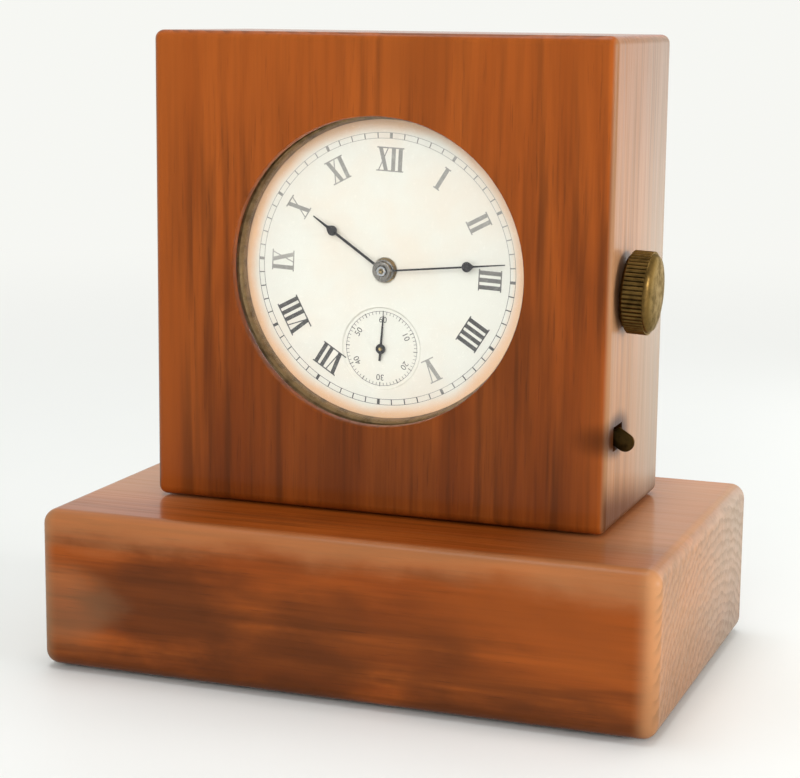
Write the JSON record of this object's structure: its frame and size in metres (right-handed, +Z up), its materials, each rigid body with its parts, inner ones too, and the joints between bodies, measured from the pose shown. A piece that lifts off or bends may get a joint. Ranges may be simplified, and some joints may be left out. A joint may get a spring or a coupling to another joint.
{
  "type": "desk clock",
  "caption": "Wooden desk clock: a round white dial and winding knob set in an upright block on a wider base.",
  "frame": {"origin": "centre of the rectangle that the feet stand in, on the surface below", "axes": "+Z up, the dial faces -Y, the winding knob is on the +X side"},
  "size_m": [0.1254, 0.08, 0.1263],
  "materials": {
    "hardwood": "glossy varnish",
    "felt": "felt",
    "glass": "clear",
    "enamel": "white enamel",
    "dark_bronze": "aged",
    "blued_steel": "blued",
    "gilt_brass": "gilt",
    "brass": "brushed",
    "steel": "polished"
  },
  "bodies": {
    "case": {"base_block": "hardwood", "felt_foot_1": "felt", "felt_foot_2": "felt", "felt_foot_3": "felt", "felt_foot_4": "felt", "base_screw_1": "steel", "base_screw_2": "steel", "case_block": "hardwood", "crystal": "glass", "dial_ring": "dark_bronze", "dial": "enamel", "front_plate": "brass", "back_plate": "brass", "plate_screw_1": "blued_steel", "plate_screw_2": "blued_steel", "plate_screw_3": "blued_steel", "plate_screw_4": "blued_steel", "movement_clamp_1": "brass", "movement_clamp_2": "brass", "clamp_screw_1": "steel", "clamp_screw_2": "steel", "hairspring": "blued_steel", "balance_cock": "gilt_brass", "cock_screw": "blued_steel", "crown_post": "steel", "click_screw": "blued_steel", "click_spring": "steel", "stem_tube": "brass", "back_cover": "brass", "back_cover_screw_1": "brass", "back_cover_screw_2": "brass", "back_cover_screw_3": "brass"},
    "minute_train": {"centre_wheel": "gilt_brass", "cannon_pinion": "steel", "minute_hand": "blued_steel"},
    "hour_train": {"hour_wheel": "brass", "hour_hand": "blued_steel"},
    "minute_wheel": {"minute_wheel": "brass"},
    "setting_wheel": {"setting_wheel": "steel"},
    "middle_wheel": {"middle_wheel": "gilt_brass"},
    "barrel": {"barrel": "gilt_brass", "barrel_cover": "gilt_brass", "mainspring": "steel"},
    "third_wheel": {"third_wheel": "gilt_brass"},
    "seconds_train": {"fourth_wheel": "gilt_brass", "seconds_hand": "blued_steel"},
    "escape_wheel": {"escape_wheel": "gilt_brass"},
    "pallet_fork": {"pallet_fork": "steel"},
    "balance": {"balance_wheel": "gilt_brass", "balance_staff": "steel"},
    "stem": {"winding_stem": "steel", "winding_knob": "dark_bronze"},
    "winding_pinion": {"winding_pinion": "steel"},
    "clutch": {"clutch_wheel": "steel"},
    "crown_wheel": {"crown_wheel": "steel"},
    "barrel_arbor": {"barrel_arbor": "steel", "ratchet_wheel": "steel"},
    "click": {"click": "steel"},
    "setting_lever": {"setting_lever": "dark_bronze"},
    "yoke": {"yoke": "steel"}
  },
  "joints": [
    {"name": "minute_hand_turn", "type": "hinge", "parent": "case", "child": "minute_train", "pos_m": [0, -0.0195, 0.0805], "axis": [0, 1, 0], "continuous": true},
    {"name": "hour_hand_turn", "type": "hinge", "parent": "case", "child": "hour_train", "pos_m": [0, -0.0195, 0.0805], "axis": [0, 1, 0], "continuous": true},
    {"name": "minute_wheel_turn", "type": "hinge", "parent": "case", "child": "minute_wheel", "pos_m": [0.0057, -0.0195, 0.08489], "axis": [0, 1, 0], "continuous": true},
    {"name": "setting_wheel_turn", "type": "hinge", "parent": "case", "child": "setting_wheel", "pos_m": [0.00914, -0.0195, 0.07658], "axis": [0, 1, 0], "continuous": true},
    {"name": "middle_wheel_turn", "type": "hinge", "parent": "case", "child": "middle_wheel", "pos_m": [-0.00647, -0.0195, 0.08877], "axis": [0, 1, 0], "continuous": true},
    {"name": "barrel_turn", "type": "hinge", "parent": "case", "child": "barrel", "pos_m": [0.00771, -0.0195, 0.09266], "axis": [0, 1, 0], "continuous": true},
    {"name": "third_wheel_turn", "type": "hinge", "parent": "case", "child": "third_wheel", "pos_m": [-0.00416, -0.0195, 0.07171], "axis": [0, 1, 0], "continuous": true},
    {"name": "seconds_hand_turn", "type": "hinge", "parent": "case", "child": "seconds_train", "pos_m": [-0.00065, -0.0195, 0.06491], "axis": [0, 1, 0], "continuous": true},
    {"name": "escape_wheel_turn", "type": "hinge", "parent": "case", "child": "escape_wheel", "pos_m": [-0.00757, -0.0195, 0.06272], "axis": [0, 1, 0], "continuous": true},
    {"name": "pallet_fork_rock", "type": "hinge", "parent": "case", "child": "pallet_fork", "pos_m": [-0.01124, -0.0195, 0.06611], "axis": [0, 1, 0], "range_deg": [-5, 5]},
    {"name": "balance_swing", "type": "hinge", "parent": "case", "child": "balance", "pos_m": [-0.01786, -0.0195, 0.07224], "axis": [0, 1, 0], "range_deg": [-270, 270]},
    {"name": "winding_knob_turn", "type": "hinge", "parent": "case", "child": "stem", "pos_m": [0.01998, -0.0091, 0.07966], "axis": [0.9991, 0, -0.0419], "continuous": true},
    {"name": "winding_pinion_turn", "type": "hinge", "parent": "case", "child": "winding_pinion", "pos_m": [0.01998, -0.0091, 0.07966], "axis": [0.9991, 0, -0.0419], "continuous": true},
    {"name": "clutch_slide", "type": "slide", "parent": "stem", "child": "clutch", "axis": [0.9991, 0, -0.0419], "range_m": [-0.001, 0]},
    {"name": "crown_wheel_turn", "type": "hinge", "parent": "case", "child": "crown_wheel", "pos_m": [0.01509, -0.0195, 0.07987], "axis": [0, 1, 0], "continuous": true},
    {"name": "ratchet_turn", "type": "hinge", "parent": "case", "child": "barrel_arbor", "pos_m": [0.00771, -0.0195, 0.09266], "axis": [0, 1, 0], "continuous": true},
    {"name": "click_lift", "type": "hinge", "parent": "case", "child": "click", "pos_m": [-0.0057, -0.0195, 0.09976], "axis": [0, 1, 0], "range_deg": [-14, 0]},
    {"name": "setting_lever_pull", "type": "slide", "parent": "case", "child": "setting_lever", "axis": [0.8443, 0, -0.5358], "range_m": [0, 0.003]},
    {"name": "yoke_turn", "type": "hinge", "parent": "case", "child": "yoke", "pos_m": [0.01592, -0.0195, 0.07343], "axis": [0, 1, 0], "range_deg": [-8.95, 0]}
  ],
  "couplings": [
    {"joint": "hour_hand_turn", "follows": "minute_hand_turn", "ratio": 0.083333},
    {"joint": "minute_wheel_turn", "follows": "minute_hand_turn", "ratio": -0.33333},
    {"joint": "setting_wheel_turn", "follows": "minute_hand_turn", "ratio": 0.5},
    {"joint": "middle_wheel_turn", "follows": "minute_hand_turn", "ratio": -0.25},
    {"joint": "barrel_turn", "follows": "minute_hand_turn", "ratio": 0.041667},
    {"joint": "third_wheel_turn", "follows": "minute_hand_turn", "ratio": -8},
    {"joint": "seconds_hand_turn", "follows": "minute_hand_turn", "ratio": 60},
    {"joint": "escape_wheel_turn", "follows": "minute_hand_turn", "ratio": -600},
    {"joint": "winding_pinion_turn", "follows": "winding_knob_turn", "ratio": 1},
    {"joint": "crown_wheel_turn", "follows": "winding_knob_turn", "ratio": -0.5},
    {"joint": "ratchet_turn", "follows": "winding_knob_turn", "ratio": 0.25},
    {"joint": "clutch_slide", "follows": "setting_lever_pull", "ratio": -0.33333},
    {"joint": "yoke_turn", "follows": "setting_lever_pull", "rad_per_m": -52.058}
  ]
}
